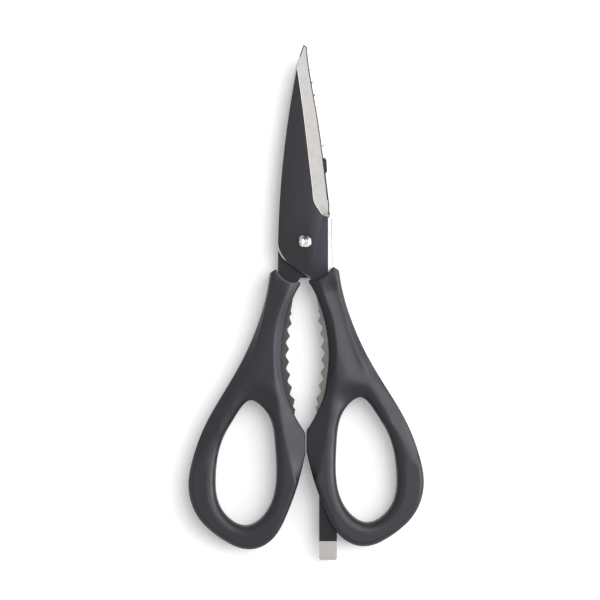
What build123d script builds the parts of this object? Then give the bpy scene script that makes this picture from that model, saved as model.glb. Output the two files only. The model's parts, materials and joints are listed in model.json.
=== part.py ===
from build123d import *
import math
import os

# Kitchen shears lying closed, blades towards +Y and upper face towards +Z. Everything is
# drawn about the plane where the handles meet (X = 0), with the pivot at Y = 0 and the
# parting face between the blades at Z = 0. The finished pieces are then moved so that the
# middle of the footprint is the origin. Lengths are millimetres.

# Reach from the pivot to each end, and half the spread across the finger loops
TIP_REACH = 82.0
DRIVER_REACH = 133.0
GRIP_REACH = 127.1
HALF_SPREAD = 49.1
PIVOT_SIDE = 0.45

# Steel stampings
BLADE_THICKNESS = 2.5
BLADE_GAP = 0.1
PLATE_HALF_WIDTH = 11.9
PLATE_SWING = 15.4
SWING_ANGLES = (22.0, -7.0)
EDGE_THICKNESS = 0.35
SPINE_CHAMFER = 0.6
STRIP_CHAMFER = 1.0

# Scaler teeth on the back edge of the back blade, and the jaw's teeth on both tangs
SCALER_TEETH = 8
SCALER_DEPTH = 0.9
SCALER_LEAN_SHARE = 0.98
TOOTH_ROOT = 0.4
JAW_TEETH = 7
JAW_DEPTH = 1.65
JAW_ROUND = 1.5

# Driver tip at the end of the front blade's tang
DRIVER_SIDE = 5.4
DRIVER_WIDTH = 7.4
DRIVER_CORNER = 1.0
DRIVER_GROUND = 7.9
DRIVER_TIP_THICKNESS = 1.3

# Handle mouldings
GRIP_THICKNESS = 12.0
OUTER_BEVEL = 1.4
LOOP_ROUND = 3.6
FACET_DEPTH = 3.1
CROWN_ANGLE = 3.0
THUMB_DISH_RADIUS = 16.0
THUMB_DISH_DEPTH = 3.2
CLOSING_GAP = 0.3
MOULD_GAP = 0.05
POCKET_SPAN = 4.0
FEWEST_SPANS = 4
LEFT_OUT = 1.6
LEFT_DROP = 0.9
LEFT_LEAN = 0.9

# Rivet and washer
RIVET_RADIUS = 2.0
RIVET_CLEARANCE = 0.05
RIVET_HEAD_SIDE = 5.2
RIVET_HEAD_CORNER = 1.7
RIVET_HEAD_HEIGHT = 1.1
RIVET_TAIL_RADIUS = 3.0
RIVET_TAIL_HEIGHT = 0.9
RIVET_TAIL_CHAMFER = 0.3
WASHER_RADIUS = 4.2
WASHER_THICKNESS = 0.5

OVERRUN = 1.0
RIGHT_ANGLE = 90.0

# Front blade, as shares of the plate's half width and of the reach to the tip. The plate
# round the pivot is in shares of its half width both ways.
TIP_SHARES = [(-0.06, 1.0), (0.06, 0.99)]
SPINE_SHARES = [(-0.334, 0.883), (-0.790, 0.455)]
EDGE_SHARES = [(0.06, 0.99), (0.126, 0.898), (0.420, 0.646), (0.672, 0.378), (0.882, 0.123)]
HEEL_SHARES = [(0.801, 0.813), (0.801, -1.013)]
APRON_SHARES = [(-1.0, -0.062), (-0.832, -0.537), (-0.530, -0.820), (0.172, -1.309)]
GROUND_SHARES = [(-0.39, 1.03), (-0.284, 0.888), (-0.119, 0.720), (0.056, 0.516), (0.260, 0.261)]
GROUND_HEEL_SHARES = [(0.260, 0.261), (0.348, 0.190), (0.488, 0.159), (0.875, 0.123)]
EDGE_LINE_SHARES = [(0.07, 1.03), (0.174, 0.888), (0.368, 0.720), (0.588, 0.516), (0.805, 0.261)]
EDGE_HEEL_SHARES = [(0.805, 0.261), (0.922, 0.123)]
BEYOND_EDGE_SHARE = 1.6

# Back blade, as shares of the same two sizes
BACK_TIP_SHARES = [(-0.06, 0.985), (0.074, 0.985)]
BACK_RUN_SHARES = [(0.074, 0.985), (0.098, 0.923), (0.393, 0.679), (0.660, 0.419), (0.720, 0.3445)]
SCALER_RUN_SHARES = (0.075, 0.883)
LAND_SHARES = [(0.640, 0.419), (0.748, 0.419), (0.776, 0.356), (0.720, 0.3445), (0.66, 0.3445)]
OPENER_SHARES = [(0.720, 0.3445), (0.836, 0.205), (0.874, 0.203), (0.906, 0.123), (0.945, 0.113)]
BACK_WIDTH_SHARE = 0.962
BACK_EDGE_SHARES = [(-0.882, 0.123), (-0.672, 0.378), (-0.420, 0.646), (-0.126, 0.898), (-0.06, 0.985)]
BACK_SIDE_SHARES = [(-0.950, -1.468), (-0.950, 0.345)]

# Right handle: its collar as shares of the plate's half width, so that it fits the plate
COLLAR_SHARES = [(0.124, -1.431), (0.137, -1.356), (0.426, -1.356), (0.657, -1.250), (0.842, -1.068),
                 (0.982, -0.897), (1.193, -1.025)]

# The rest of it, as shares of half the spread and of the handles' reach
OUTER_EDGE_SHARES = [(0.317, 0.174), (0.405, 0.279), (0.531, 0.384), (0.694, 0.489),
                     (0.854, 0.595), (0.959, 0.700), (1.000, 0.792), (0.937, 0.884), (0.733, 0.963),
                     (0.475, 1.000), (0.327, 0.979), (0.166, 0.887), (0.043, 0.755), (-0.002, 0.680)]
INNER_EDGE_SHARES = [(-0.002, 0.625), (0.054, 0.591), (0.109, 0.547), (0.152, 0.489), (0.182, 0.423),
                     (0.190, 0.378), (0.179, 0.312), (0.143, 0.243), (0.105, 0.197)]
LOOP_SHARES = [(0.424, 0.516), (0.311, 0.562), (0.258, 0.667), (0.255, 0.772), (0.337, 0.877),
               (0.513, 0.924), (0.708, 0.877), (0.768, 0.766), (0.705, 0.641), (0.588, 0.562)]
INNER_CREASE_SHARES = [(0.080, 0.085), (0.130, 0.156), (0.229, 0.267), (0.254, 0.341), (0.248, 0.429),
                       (0.185, 0.609), (0.090, 0.779), (0.020, 0.880)]
INNER_FOOT_SHARES = [(-0.025, 0.085), (0.014, 0.134), (0.138, 0.243), (0.186, 0.378), (0.148, 0.489),
                     (-0.014, 0.640), (0.046, 0.779), (0.006, 0.880)]
OUTER_CREASE_SHARES = [(0.250, 0.040), (0.304, 0.179), (0.401, 0.335), (0.555, 0.513), (0.671, 0.641),
                       (0.937, 0.742), (1.050, 0.790)]
OUTER_FOOT_SHARES = [(0.265, 0.040), (0.320, 0.174), (0.470, 0.335), (0.740, 0.513), (0.920, 0.641),
                     (1.010, 0.742), (1.120, 0.790)]
CROWN_SHARE = 0.24
THUMB_DISH_SHARES = (0.424, 0.535)

# Tang inside the right handle, as shares of the same two sizes
TANG_INNER_SHARES = [(0.070, 0.148), (0.092, 0.190), (0.108, 0.222)]
JAW_SHARES = [(0.090, 0.243), (0.128, 0.375), (0.071, 0.534)]
TANG_LOWER_SHARES = [(0.071, 0.534), (0.090, 0.575), (0.070, 0.621), (0.075, 0.752)]
TANG_OUTER_SHARES = [(0.207, 0.719), (0.229, 0.621), (0.271, 0.539), (0.297, 0.456), (0.297, 0.341),
                     (0.254, 0.243), (0.211, 0.160)]
DRIVER_ROOT_SHARES = (0.818, 0.851)

PARTING = BLADE_GAP / 2
STEEL_FACE = PARTING + BLADE_THICKNESS
GRIP_FACE = GRIP_THICKNESS / 2
LEFT_PLACE = Pos(-LEFT_OUT, -LEFT_DROP, 0) * Rot(0, 0, LEFT_LEAN)


def blade_points(shares, side=1):
    """Points of a blade's outline about the pivot, mirrored where side is -1."""
    return [(side * across * PLATE_HALF_WIDTH - PIVOT_SIDE, along * TIP_REACH) for across, along in shares]


def plate_points(shares):
    """Points about the pivot in shares of the plate's half width, both ways."""
    return [(across * PLATE_HALF_WIDTH - PIVOT_SIDE, along * PLATE_HALF_WIDTH) for across, along in shares]


def right_points(shares):
    """Points of the right handle's outline, measured down from the pivot."""
    return [(across * HALF_SPREAD, -along * GRIP_REACH) for across, along in shares]


def left_points(shares):
    """The same points on the left handle, which sits a little lower and further out."""
    places = [LEFT_PLACE * Pos(-across, along, 0) for across, along in right_points(shares)]
    return [(place.position.X, place.position.Y) for place in places]


def run_of(points):
    """Straight lines from each point to the next."""
    return [Line(start, end) for start, end in zip(points, points[1:])]


def face_of(*edges):
    """A flat face inside a closed run of edges."""
    return Face(Wire(list(edges)))


def slab(face, low, high):
    """A flat piece with the face's outline between two heights."""
    return extrude(Pos(0, 0, low) * face, amount=high - low, dir=(0, 0, 1))


def scaler_teeth(run):
    """Ramps along the scaler's run of edge, each rising to a tip near its end."""
    first, last = SCALER_RUN_SHARES
    pitch = (last - first) / SCALER_TEETH
    teeth = []
    for index in range(SCALER_TEETH):
        start_share = first + pitch * index
        tip_share = start_share + pitch * SCALER_LEAN_SHARE
        across = (run % tip_share).rotate(Axis.Z, RIGHT_ANGLE)
        start, end = run @ start_share, run @ (start_share + pitch)
        tip = run @ tip_share + across * SCALER_DEPTH
        root = across * -TOOTH_ROOT
        teeth.append(face_of(*run_of([start, tip, end, end + root, start + root, start])))
    return teeth


def jaw_bites(jaw, side):
    """Notches from each tip of the jaw to the next, with rounded bottoms."""
    half_share = 1 / JAW_TEETH / 2
    bites = []
    for index in range(JAW_TEETH + 1):
        share = index / JAW_TEETH
        outward = (jaw % share).rotate(Axis.Z, -side * RIGHT_ANGLE)
        first, last = jaw @ (share - half_share), jaw @ (share + half_share)
        bottom = jaw @ share - outward * JAW_DEPTH
        notch = face_of(*run_of([first, bottom, last, last + outward * OVERRUN,
                                 first + outward * OVERRUN, first]))
        bites.append(fillet(notch.vertices().sort_by_distance(bottom)[0], JAW_ROUND))
    return bites


def tang_edges(points_of, inner_end, outer_start):
    """The tang's outline from the plate down its jaw side, and up its outer side."""
    inner = Spline(inner_end, *points_of(TANG_INNER_SHARES))
    jaw = ThreePointArc(*points_of(JAW_SHARES))
    lower = Spline(*points_of(TANG_LOWER_SHARES))
    outer = Spline(*points_of(TANG_OUTER_SHARES))
    down = [inner, Line(inner @ 1, jaw @ 0), jaw, lower]
    up = [outer, Line(outer @ 1, outer_start)]
    return down, up, jaw


def front_outline():
    """Faces of the whole front stamping, its plate and its tang, and the line of the jaw's tips."""
    tip = blade_points(TIP_SHARES)
    spine = blade_points(SPINE_SHARES)
    apron = plate_points(APRON_SHARES)
    heel = plate_points(HEEL_SHARES)
    edge = Spline(*blade_points(EDGE_SHARES))
    down, up, jaw = tang_edges(right_points, apron[-1], heel[-1])
    root_high, root_low = (-share * GRIP_REACH for share in DRIVER_ROOT_SHARES)
    near, far = DRIVER_SIDE, DRIVER_SIDE + DRIVER_WIDTH
    driver = run_of([down[-1] @ 1, (near, root_high), (near, -DRIVER_REACH), (far, -DRIVER_REACH),
                     (far, root_low), up[0] @ 0])
    blade = [Line(heel[1], heel[0]), Line(heel[0], edge @ 1), edge, Line(edge @ 0, tip[0]),
             Line(tip[0], spine[0]), ThreePointArc(*spine, apron[0]), ThreePointArc(*apron[:3]),
             Line(apron[2], apron[3])]
    plate = face_of(*blade, Line(apron[-1], heel[-1]))
    tang = face_of(*down, *driver, *up, Line(heel[-1], apron[-1]))
    return face_of(*blade, *down, *driver, *up), plate, tang, jaw


def back_outline():
    """Face of the back stamping, the line of the jaw's tips and the line that the scaler stands on."""
    run = Spline(*blade_points(BACK_RUN_SHARES))
    opener = blade_points(OPENER_SHARES)
    side = plate_points(BACK_SIDE_SHARES)
    edge = Spline(*blade_points(BACK_EDGE_SHARES))
    right = BACK_WIDTH_SHARE * PLATE_HALF_WIDTH
    corner = (right - PIVOT_SIDE, -math.sqrt(PLATE_SWING**2 - right**2))
    swing = [(-PIVOT_SIDE + PLATE_SWING * math.sin(math.radians(turn)),
              -PLATE_SWING * math.cos(math.radians(turn))) for turn in SWING_ANGLES]
    down, up, jaw = tang_edges(left_points, swing[-1], side[0])
    blade = [*run_of(side), Line(side[-1], edge @ 0), edge, Line(edge @ 1, run @ 0), run, *run_of(opener),
             Line(opener[-1], corner), ThreePointArc(corner, *swing)]
    return face_of(*blade, *down, Line(down[-1] @ 1, up[0] @ 0), *up), jaw, run


def ground_cutter(side):
    """What grinding takes off one blade: a sloped face that runs out at a curved heel."""
    line = Spline(*blade_points(GROUND_SHARES, side))
    heel = Spline(*blade_points(GROUND_HEEL_SHARES, side), tangents=(line % 1, (side, 0)))
    edge_line = Spline(*blade_points(EDGE_LINE_SHARES, side))
    edge_heel = Line(*blade_points(EDGE_HEEL_SHARES, side))
    beyond = side * BEYOND_EDGE_SHARE * PLATE_HALF_WIDTH

    def section(first, second, height):
        bottom, top = second @ 1, first @ 0
        outer = run_of([bottom, (beyond, bottom.Y), (beyond, top.Y), top])
        return Pos(0, 0, height) * face_of(first, second, *outer)

    low = section(edge_line, edge_heel, side * (PARTING + EDGE_THICKNESS))
    high = section(line, heel, side * STEEL_FACE)
    return loft([low, high], ruled=True)


def edges_at(part, height, where):
    """Edges of a part at one height whose middle passes a test."""
    level = part.edges().filter_by_position(Axis.Z, height - PARTING, height + PARTING)
    return [edge for edge in level if where(edge)]


def driver_cutter(upper):
    """The wedge ground off one face of the driver's tip."""
    loss = (BLADE_THICKNESS - DRIVER_TIP_THICKNESS) / 2
    slope = math.degrees(math.atan2(loss, DRIVER_GROUND))
    height = STEEL_FACE if upper else PARTING
    reach = DRIVER_GROUND + OVERRUN
    sense = 1 if upper else -1
    align = (Align.CENTER, Align.MAX, Align.MIN if upper else Align.MAX)
    wedge = Box(DRIVER_WIDTH + 2 * OVERRUN, reach, BLADE_THICKNESS, align=align)
    middle = DRIVER_SIDE + DRIVER_WIDTH / 2
    return Pos(middle, DRIVER_GROUND - DRIVER_REACH, height) * Rot(sense * slope, 0, 0) * wedge


def front_blade():
    """Front stamping: ground edge to the right, jaw teeth and driver tip on its tang."""
    face, plate, tang, jaw = front_outline()
    steel = slab(plate, PARTING, STEEL_FACE)
    spine = edges_at(steel, STEEL_FACE, lambda edge: edge.center().X < -SPINE_CHAMFER)
    steel = chamfer(spine, SPINE_CHAMFER) + slab(tang, PARTING, STEEL_FACE)
    for bite in jaw_bites(jaw, 1):
        steel -= slab(bite, PARTING - OVERRUN, STEEL_FACE + OVERRUN)
    steel -= ground_cutter(1)
    corners = [edge for edge in steel.edges().filter_by(Axis.Z)
               if edge.center().Y < PARTING - DRIVER_REACH]
    steel = fillet(corners, DRIVER_CORNER)
    steel -= driver_cutter(True) + driver_cutter(False)
    return steel - pivot_hole(RIVET_RADIUS + RIVET_CLEARANCE)


def back_blade():
    """Back stamping: scaler teeth, land and cap lifter on its back edge, jaw teeth on its tang."""
    face, jaw, run = back_outline()
    steel = slab(face, -STEEL_FACE, -PARTING)
    strip = edges_at(steel, -PARTING, lambda edge: edge.center().X > PLATE_HALF_WIDTH - 2 * STRIP_CHAMFER
                     and edge.length > PLATE_SWING)
    steel = chamfer(strip, STRIP_CHAMFER)
    land = blade_points(LAND_SHARES)
    for tooth in [*scaler_teeth(run), face_of(*run_of(land + land[:1]))]:
        steel += slab(tooth, -STEEL_FACE, -PARTING)
    for bite in jaw_bites(jaw, -1):
        steel -= slab(bite, -STEEL_FACE - OVERRUN, OVERRUN - PARTING)
    steel -= ground_cutter(-1)
    return steel - pivot_hole(RIVET_RADIUS + MOULD_GAP)


def pivot_hole(radius):
    """A round hole right through both blades at the pivot."""
    return Pos(-PIVOT_SIDE, 0, 0) * Cylinder(radius, 2 * (STEEL_FACE + OVERRUN))


def facet_cutter(crease_shares, foot_shares, beyond):
    """What a sloped facet takes off the top of the right handle, from its crease to its foot."""

    def section(shares, height):
        points = right_points(shares)
        start, end = points[0], points[-1]
        side = run_of([end, (beyond, end[1]), (beyond, start[1]), start])
        return Pos(0, 0, height) * face_of(Spline(*points), *side)

    low = section(foot_shares, GRIP_FACE - FACET_DEPTH)
    high = section(crease_shares, GRIP_FACE)
    return loft([low, high], ruled=True)


def crown_cutter():
    """The slight fall of the handle's upper face towards its outer side."""
    size = 4 * HALF_SPREAD
    slope = Rot(0, CROWN_ANGLE, 0) * Box(size, 2 * GRIP_REACH, GRIP_THICKNESS,
                                         align=(Align.CENTER, Align.CENTER, Align.MIN))
    return Pos(CROWN_SHARE * HALF_SPREAD, -GRIP_REACH / 2, GRIP_FACE) * slope


def thumb_dish():
    """The hollow that leads from the shank's face into the finger loop."""
    across, along = right_points([THUMB_DISH_SHARES])[0]
    return Pos(across, along, GRIP_FACE + THUMB_DISH_RADIUS - THUMB_DISH_DEPTH) * Sphere(THUMB_DISH_RADIUS)


def handle_blank():
    """The right handle before the tang's pocket is cut into it."""
    collar = plate_points(COLLAR_SHARES)
    outer = Spline(collar[-1], *right_points(OUTER_EDGE_SHARES))
    inner = Spline(*right_points(INNER_EDGE_SHARES), collar[0])
    outline = face_of(*run_of(collar[:3]), ThreePointArc(*collar[2:5]), *run_of(collar[4:]), outer,
                      Line(outer @ 1, inner @ 0), inner)
    loop = face_of(Spline(*right_points(LOOP_SHARES), periodic=True))
    blank = slab(outline, -GRIP_FACE, GRIP_FACE) - slab(loop, -GRIP_FACE - OVERRUN, GRIP_FACE + OVERRUN)
    crown = crown_cutter()
    blank -= crown + mirror(crown, about=Plane.XY)
    rims = [edge for edge in blank.edges() if abs(edge.center().Z) > GRIP_FACE / 2]
    blank = fillet([edge for edge in rims if edge.is_closed], LOOP_ROUND)
    sides = [edge for edge in blank.edges() if edge.length > GRIP_REACH and not edge.is_closed
             and abs(edge.center().Z) > GRIP_FACE / 2]
    blank = chamfer(sides, OUTER_BEVEL)
    upper = [facet_cutter(INNER_CREASE_SHARES, INNER_FOOT_SHARES, -HALF_SPREAD),
             facet_cutter(OUTER_CREASE_SHARES, OUTER_FOOT_SHARES, 2 * HALF_SPREAD), thumb_dish()]
    for cutter in upper:
        blank -= cutter
        blank -= mirror(cutter, about=Plane.XY)
    beyond = Box(HALF_SPREAD, 2 * GRIP_REACH, 2 * GRIP_THICKNESS,
                 align=(Align.MAX, Align.CENTER, Align.CENTER))
    return blank - Pos(CLOSING_GAP / 2, -GRIP_REACH / 2, 0) * beyond


def pocket(face, low, high):
    """Room in a handle for its tang, with the moulding's gap all round."""
    edges = []
    for edge in offset(face, MOULD_GAP).faces()[0].outer_wire().order_edges():
        if edge.geom_type in (GeomType.LINE, GeomType.CIRCLE):
            edges.append(edge)
        else:
            spans = round(max(FEWEST_SPANS, edge.length / POCKET_SPAN))
            edges.append(Spline(*[edge @ (step / spans) for step in range(spans + 1)]))
    return slab(face_of(*edges), low - MOULD_GAP, high + MOULD_GAP)


def left_handle(blank):
    """The left moulding, round the back blade's tang."""
    face = back_outline()[0]
    body = LEFT_PLACE * mirror(blank, about=Plane.YZ)
    beyond = Box(HALF_SPREAD, 2 * GRIP_REACH, 2 * GRIP_THICKNESS,
                 align=(Align.MIN, Align.CENTER, Align.CENTER))
    closing = Pos(-CLOSING_GAP / 2, -GRIP_REACH / 2, 0) * beyond
    return body - closing - pocket(face, -STEEL_FACE, -PARTING)


def right_handle(blank):
    """The right moulding, round the front blade's tang."""
    face = front_outline()[0]
    return blank - pocket(face, PARTING, STEEL_FACE)


def pivot_rivet():
    """Rivet with a staked, pillow-shaped head and a flat tail behind the washer."""
    head_foot = STEEL_FACE + RIVET_CLEARANCE
    tail_face = -STEEL_FACE - WASHER_THICKNESS
    pillow = RectangleRounded(RIVET_HEAD_SIDE, RIVET_HEAD_SIDE, RIVET_HEAD_CORNER)
    head = extrude(Pos(0, 0, head_foot) * pillow, amount=RIVET_HEAD_HEIGHT)
    head = chamfer(head.faces().sort_by(Axis.Z)[-1].edges(), RIVET_HEAD_HEIGHT / 2, RIVET_HEAD_HEIGHT)
    shank = Pos(0, 0, tail_face) * Cylinder(RIVET_RADIUS, head_foot - tail_face,
                                            align=(Align.CENTER, Align.CENTER, Align.MIN))
    tail = Pos(0, 0, tail_face) * Cylinder(RIVET_TAIL_RADIUS, RIVET_TAIL_HEIGHT,
                                           align=(Align.CENTER, Align.CENTER, Align.MAX))
    tail = chamfer(tail.edges().sort_by(Axis.Z)[0], RIVET_TAIL_CHAMFER)
    return Pos(-PIVOT_SIDE, 0, 0) * (head + shank + tail)


def rivet_washer():
    """Flat washer between the back blade and the rivet's tail."""
    ring = Circle(WASHER_RADIUS) - Circle(RIVET_RADIUS + MOULD_GAP)
    return Pos(-PIVOT_SIDE, 0, -STEEL_FACE - WASHER_THICKNESS) * extrude(ring, amount=WASHER_THICKNESS)


def main():
    blank = handle_blank()
    pieces = {
        "front_blade": front_blade(),
        "back_blade": back_blade(),
        "right_handle": right_handle(blank),
        "left_handle": left_handle(blank),
        "pivot_rivet": pivot_rivet(),
        "rivet_washer": rivet_washer(),
    }
    box = Compound(children=[Compound(piece.wrapped) for piece in pieces.values()]).bounding_box()
    middle = Pos(-box.center().X, -box.center().Y, -box.min.Z)
    os.makedirs("parts", exist_ok=True)
    for name, piece in pieces.items():
        export_step(middle * piece, f"parts/{name}.step")
    print("footprint", box.size.X, box.size.Y, box.size.Z)
    print("pivot at", -PIVOT_SIDE - box.center().X, -box.center().Y, "parting face at", -box.min.Z)


main()
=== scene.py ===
import json
import logging
import math
from dataclasses import dataclass
from enum import Enum, IntEnum
from typing import Callable, Sequence

import bpy
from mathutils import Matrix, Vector
from mathutils.geometry import intersect_point_line

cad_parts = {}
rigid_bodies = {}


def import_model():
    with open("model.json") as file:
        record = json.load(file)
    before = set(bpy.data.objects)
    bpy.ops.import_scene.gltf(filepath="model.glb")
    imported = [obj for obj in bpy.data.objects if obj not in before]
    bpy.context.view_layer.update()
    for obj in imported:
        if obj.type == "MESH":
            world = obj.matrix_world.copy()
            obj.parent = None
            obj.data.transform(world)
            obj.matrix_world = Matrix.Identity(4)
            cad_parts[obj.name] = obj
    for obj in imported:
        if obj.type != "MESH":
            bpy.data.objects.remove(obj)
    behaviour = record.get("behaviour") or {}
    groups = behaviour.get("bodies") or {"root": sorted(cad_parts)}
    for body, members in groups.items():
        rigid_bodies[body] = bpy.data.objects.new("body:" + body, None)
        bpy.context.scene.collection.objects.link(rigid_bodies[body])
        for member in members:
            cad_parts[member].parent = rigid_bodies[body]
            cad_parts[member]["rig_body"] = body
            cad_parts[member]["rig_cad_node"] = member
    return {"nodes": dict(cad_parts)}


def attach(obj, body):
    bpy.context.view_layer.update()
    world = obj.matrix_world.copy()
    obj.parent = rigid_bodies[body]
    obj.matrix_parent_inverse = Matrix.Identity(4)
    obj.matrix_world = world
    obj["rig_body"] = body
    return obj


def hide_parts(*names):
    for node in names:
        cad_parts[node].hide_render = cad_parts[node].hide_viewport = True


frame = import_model()

log = logging.getLogger("kitchen_shears")

MM = 0.001

# Corners nearer than this are one, and faces turned less than this many degrees are one flat.
MERGE_WITHIN = 0.002 * MM
FLAT_WITHIN = 0.3

ACROSS = Vector((1.0, 0.0, 0.0))
ALONG = Vector((0.0, 1.0, 0.0))

# A pattern that is the same in every direction, and the span that holds most of its values.
EVEN = (1.0, 1.0, 1.0)
NOISE_SPAN = (0.3, 0.7)


class Body(str, Enum):
    """The two halves that turn about the rivet."""

    FRONT = "front_half"
    BACK = "back_half"


class Slot(str, Enum):
    """The record's material slots."""

    STEEL = "coated_steel"
    PLASTIC = "handle_plastic"
    RIVET = "rivet_steel"


class Finish(IntEnum):
    """The finishes on a blade, by their place in its list of materials."""

    COAT = 0
    BEVEL = 1
    GROUND = 2
    MILL = 3
    POLISHED = 4
    # Painted shade: near-black steel on the strip along the cutting edge, the teeth's steps and the bevel's
    # heel.
    HONED = 5


class Nodes:
    """Adds shader nodes to one material and joins them."""

    def __init__(self, name: str) -> None:
        """Starts an empty node tree.

        Args:
            name: The material's name.
        """
        self.material = bpy.data.materials.new(name)
        self.material.use_nodes = True
        self.tree = self.material.node_tree
        self.tree.nodes.clear()
        self.place = self.add("ShaderNodeTexCoord")

    def add(self, kind: str, **values: object) -> bpy.types.Node:
        """Adds one node.

        Args:
            kind: The node's type.
            **values: Settings of the node itself.

        Returns:
            The new node.
        """
        node = self.tree.nodes.new(kind)
        for key, value in values.items():
            setattr(node, key, value)
        return node

    def join(self, source: bpy.types.NodeSocket, node: bpy.types.Node, socket: str | int) -> None:
        """Links an output to one of a node's inputs."""
        self.tree.links.new(source, node.inputs[socket])

    def mapped(self, scale: tuple[float, float, float], turn: float = 0.0) -> bpy.types.NodeSocket:
        """Object coordinates, scaled and turned about Z.

        Args:
            scale: The factor along each axis.
            turn: The turn in degrees.

        Returns:
            The mapped coordinates.
        """
        node = self.add("ShaderNodeMapping")
        node.inputs["Scale"].default_value = scale
        node.inputs["Rotation"].default_value = (0.0, 0.0, math.radians(turn))
        self.join(self.place.outputs["Object"], node, "Vector")
        return node.outputs[0]

    def noise(self, vector: bpy.types.NodeSocket, scale: float, detail: float = 3.0,
              roughness: float = 0.5) -> bpy.types.NodeSocket:
        """A noise pattern on the given coordinates.

        Args:
            vector: The coordinates.
            scale: Cells in a unit of the coordinates.
            detail: How many finer layers it has.
            roughness: How strong those are.

        Returns:
            The noise, about 0 to 1.
        """
        node = self.add("ShaderNodeTexNoise")
        node.inputs["Scale"].default_value = scale
        node.inputs["Detail"].default_value = detail
        node.inputs["Roughness"].default_value = roughness
        self.join(vector, node, "Vector")
        return node.outputs["Fac"]

    def along(self, axis: int, low: float, high: float) -> bpy.types.NodeSocket:
        """Rises smoothly from 0 to 1 between two places along an axis.

        Args:
            axis: The axis, 0 for X.
            low: The place, in metres, where it starts.
            high: The place where it ends.

        Returns:
            The rising value.
        """
        parts = self.add("ShaderNodeSeparateXYZ")
        self.join(self.place.outputs["Object"], parts, 0)
        node = self.add("ShaderNodeMapRange", interpolation_type="SMOOTHSTEP")
        node.inputs["From Min"].default_value = low
        node.inputs["From Max"].default_value = high
        self.join(parts.outputs[axis], node, "Value")
        return node.outputs[0]

    def times(self, first: bpy.types.NodeSocket, second: bpy.types.NodeSocket) -> bpy.types.NodeSocket:
        """The product of two values.

        Args:
            first: One value.
            second: The other value.

        Returns:
            Their product.
        """
        node = self.add("ShaderNodeMath", operation="MULTIPLY")
        self.join(first, node, 0)
        self.join(second, node, 1)
        return node.outputs[0]

    def spread(self, source: bpy.types.NodeSocket, low: float, high: float, to_low: float,
               to_high: float) -> bpy.types.NodeSocket:
        """Maps one range of values to another, held at its ends.

        Args:
            source: The value.
            low: The value that gives to_low.
            high: The value that gives to_high.
            to_low: The result at low.
            to_high: The result at high.

        Returns:
            The mapped value.
        """
        node = self.add("ShaderNodeMapRange")
        sockets = ("From Min", "From Max", "To Min", "To Max")
        for socket, value in zip(sockets, (low, high, to_low, to_high)):
            node.inputs[socket].default_value = value
        self.join(source, node, "Value")
        return node.outputs[0]

    def tint(self, fac: bpy.types.NodeSocket, low: Sequence[float],
             high: Sequence[float]) -> bpy.types.NodeSocket:
        """A colour between two others.

        Args:
            fac: Where between them, 0 to 1.
            low: The colour at 0.
            high: The colour at 1.

        Returns:
            The colour.
        """
        node = self.add("ShaderNodeMix", data_type="RGBA")
        node.inputs[6].default_value = (*low, 1.0)
        node.inputs[7].default_value = (*high, 1.0)
        self.join(fac, node, 0)
        return node.outputs[2]

    def toward(self, fac: bpy.types.NodeSocket, colour: bpy.types.NodeSocket,
               high: Sequence[float]) -> bpy.types.NodeSocket:
        """Takes a colour towards another one.

        Args:
            fac: How far, 0 to 1.
            colour: The colour at 0.
            high: The colour at 1.

        Returns:
            The colour.
        """
        node = self.add("ShaderNodeMix", data_type="RGBA")
        node.inputs[7].default_value = (*high, 1.0)
        self.join(colour, node, 6)
        self.join(fac, node, 0)
        return node.outputs[2]

    def bump(self, height: bpy.types.NodeSocket, distance: float,
             strength: float) -> bpy.types.NodeSocket:
        """A bumped normal.

        Args:
            height: The height pattern, 0 to 1.
            distance: How deep it is, in metres.
            strength: How much of it shows.

        Returns:
            The normal.
        """
        node = self.add("ShaderNodeBump")
        node.inputs["Distance"].default_value = distance
        node.inputs["Strength"].default_value = strength
        self.join(height, node, "Height")
        return node.outputs[0]

    def surface(self, colour: bpy.types.NodeSocket, rough: bpy.types.NodeSocket,
                normal: bpy.types.NodeSocket, **values: float) -> bpy.types.Material:
        """Ends the tree in one Principled surface.

        Args:
            colour: The base colour.
            rough: The roughness.
            normal: The normal.
            **values: Other inputs, named in words joined by underscores.

        Returns:
            The finished material.
        """
        shader = self.add("ShaderNodeBsdfPrincipled")
        self.join(colour, shader, "Base Color")
        self.join(rough, shader, "Roughness")
        self.join(normal, shader, "Normal")
        for key, value in values.items():
            shader.inputs[key.replace("_", " ")].default_value = value
        out = self.add("ShaderNodeOutputMaterial")
        self.join(shader.outputs[0], out, "Surface")
        return self.material


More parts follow.
